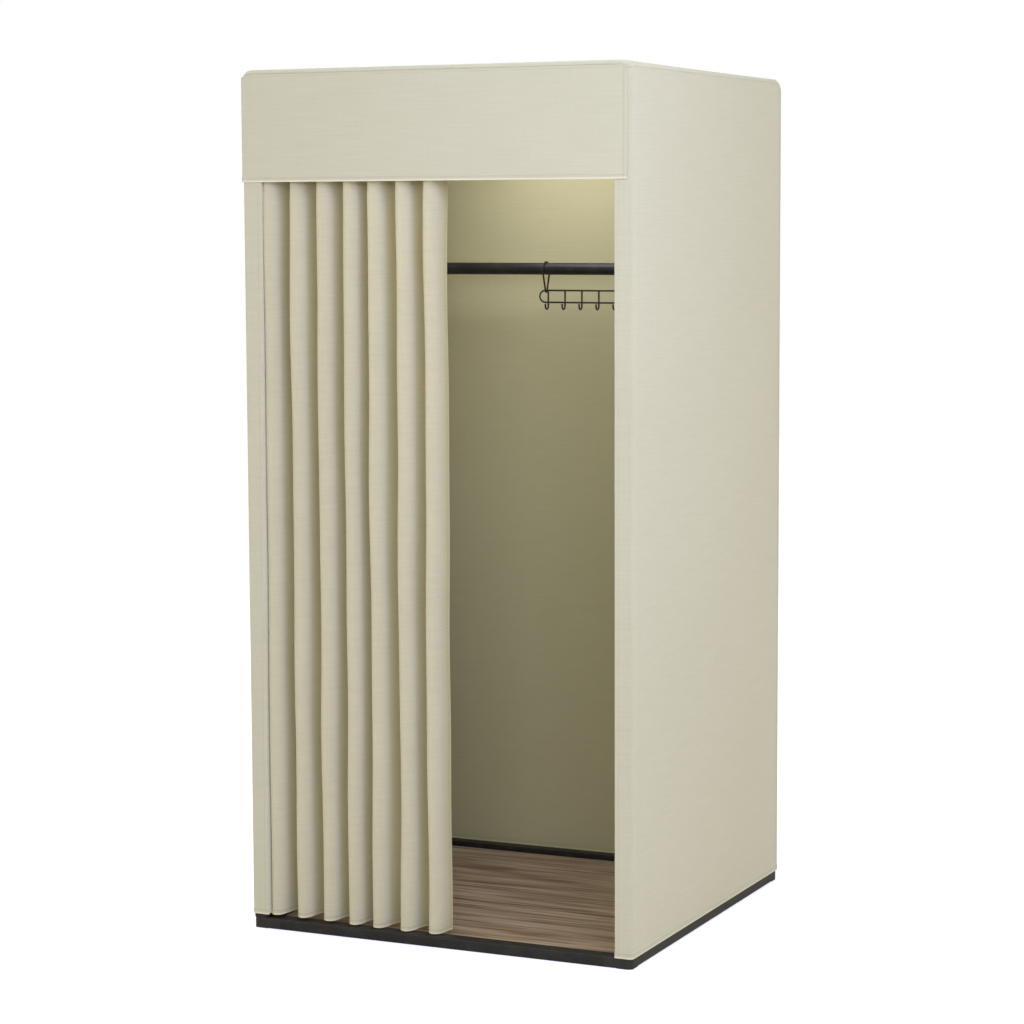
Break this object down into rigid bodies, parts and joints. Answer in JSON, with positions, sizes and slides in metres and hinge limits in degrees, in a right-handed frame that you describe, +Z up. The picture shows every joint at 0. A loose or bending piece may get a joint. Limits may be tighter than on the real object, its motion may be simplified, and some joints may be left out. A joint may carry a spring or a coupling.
{
  "type": "portable fitting room",
  "caption": "Free-standing square fitting booth: tube frame under a cloth cover with a front curtain on rings, a valance, a clothes rail and a hook rack.",
  "frame": {"origin": "on the ground under the centre of the booth", "axes": "+Z up, the doorway faces -Y, +X to the right as seen from the front"},
  "size_m": [0.97, 0.97, 2],
  "materials": {
    "black_metal": "satin black powder coat",
    "black_plastic": "fine-grained moulded black",
    "cloth": "beige linen-look polyester, matt",
    "curtain_cloth": "beige linen-look polyester, matt",
    "wood": "grey-brown plank grain, matt lacquer",
    "steel": "zinc-plated"
  },
  "bodies": {
    "root": {"base_front_rail": "black_metal", "base_back_rail": "black_metal", "base_left_rail": "black_metal", "base_right_rail": "black_metal", "base_corner_front_left": "black_plastic", "base_corner_front_right": "black_plastic", "base_corner_back_left": "black_plastic", "base_corner_back_right": "black_plastic", "floor_board": "wood", "upright_lower_front_left": "black_metal", "upright_lower_front_right": "black_metal", "upright_lower_back_left": "black_metal", "upright_lower_back_right": "black_metal", "upright_upper_front_left": "black_metal", "upright_upper_front_right": "black_metal", "upright_upper_back_left": "black_metal", "upright_upper_back_right": "black_metal", "upright_screw_front_left": "steel", "upright_screw_front_right": "steel", "upright_screw_back_left": "steel", "upright_screw_back_right": "steel", "top_front_rail": "black_metal", "top_back_rail": "black_metal", "top_left_rail": "black_metal", "top_right_rail": "black_metal", "top_corner_front_left": "black_plastic", "top_corner_front_right": "black_plastic", "top_corner_back_left": "black_plastic", "top_corner_back_right": "black_plastic", "side_brace_left": "black_metal", "side_brace_right": "black_metal", "rail_socket_left": "black_plastic", "rail_socket_right": "black_plastic", "clothes_rail": "black_metal", "curtain_rod": "black_metal", "rod_bracket_left": "black_plastic", "rod_bracket_right": "black_plastic", "curtain_ring_0": "steel", "cover_roof": "cloth", "cover_left": "cloth", "cover_right": "cloth", "cover_back": "cloth", "valance": "cloth"},
    "curtain_1": {"curtain_ring_1": "steel", "curtain_fold_1": "curtain_cloth"},
    "curtain_2": {"curtain_ring_2": "steel", "curtain_fold_2": "curtain_cloth"},
    "curtain_3": {"curtain_ring_3": "steel", "curtain_fold_3": "curtain_cloth"},
    "curtain_4": {"curtain_ring_4": "steel", "curtain_fold_4": "curtain_cloth"},
    "curtain_5": {"curtain_ring_5": "steel", "curtain_fold_5": "curtain_cloth"},
    "curtain_6": {"curtain_ring_6": "steel", "curtain_fold_6": "curtain_cloth"},
    "curtain_7": {"curtain_ring_7": "steel", "curtain_fold_7": "curtain_cloth"},
    "rack_hangers": {"rack_hanger_left": "black_metal", "rack_hanger_right": "black_metal"},
    "hook_rack": {"hook_rack": "black_metal"}
  },
  "joints": [
    {"name": "curtain_slide_1", "type": "slide", "parent": "root", "child": "curtain_1", "axis": [1, 0, 0], "range_m": [-0.0125, 0.0336], "deforming": ["curtain_fold_1"]},
    {"name": "curtain_slide_2", "type": "slide", "parent": "curtain_1", "child": "curtain_2", "axis": [1, 0, 0], "range_m": [-0.025, 0.0672], "deforming": ["curtain_fold_2"]},
    {"name": "curtain_slide_3", "type": "slide", "parent": "curtain_2", "child": "curtain_3", "axis": [1, 0, 0], "range_m": [-0.025, 0.0672], "deforming": ["curtain_fold_3"]},
    {"name": "curtain_slide_4", "type": "slide", "parent": "curtain_3", "child": "curtain_4", "axis": [1, 0, 0], "range_m": [-0.025, 0.0672], "deforming": ["curtain_fold_4"]},
    {"name": "curtain_slide_5", "type": "slide", "parent": "curtain_4", "child": "curtain_5", "axis": [1, 0, 0], "range_m": [-0.025, 0.0672], "deforming": ["curtain_fold_5"]},
    {"name": "curtain_slide_6", "type": "slide", "parent": "curtain_5", "child": "curtain_6", "axis": [1, 0, 0], "range_m": [-0.025, 0.0672], "deforming": ["curtain_fold_6"]},
    {"name": "curtain_slide_7", "type": "slide", "parent": "curtain_6", "child": "curtain_7", "axis": [1, 0, 0], "range_m": [-0.025, 0.0672], "deforming": ["curtain_fold_7"]},
    {"name": "rack_slide", "type": "slide", "parent": "root", "child": "rack_hangers", "axis": [1, 0, 0], "range_m": [-0.32, 0.2]},
    {"name": "rack_swing", "type": "hinge", "parent": "rack_hangers", "child": "hook_rack", "pos_m": [0.0585, 0.335, 1.484], "axis": [1, 0, 0], "range_deg": [-70, 70]}
  ],
  "couplings": [
    {"joint": "curtain_slide_2", "follows": "curtain_slide_1", "ratio": 2},
    {"joint": "curtain_slide_3", "follows": "curtain_slide_1", "ratio": 2},
    {"joint": "curtain_slide_4", "follows": "curtain_slide_1", "ratio": 2},
    {"joint": "curtain_slide_5", "follows": "curtain_slide_1", "ratio": 2},
    {"joint": "curtain_slide_6", "follows": "curtain_slide_1", "ratio": 2},
    {"joint": "curtain_slide_7", "follows": "curtain_slide_1", "ratio": 2}
  ]
}
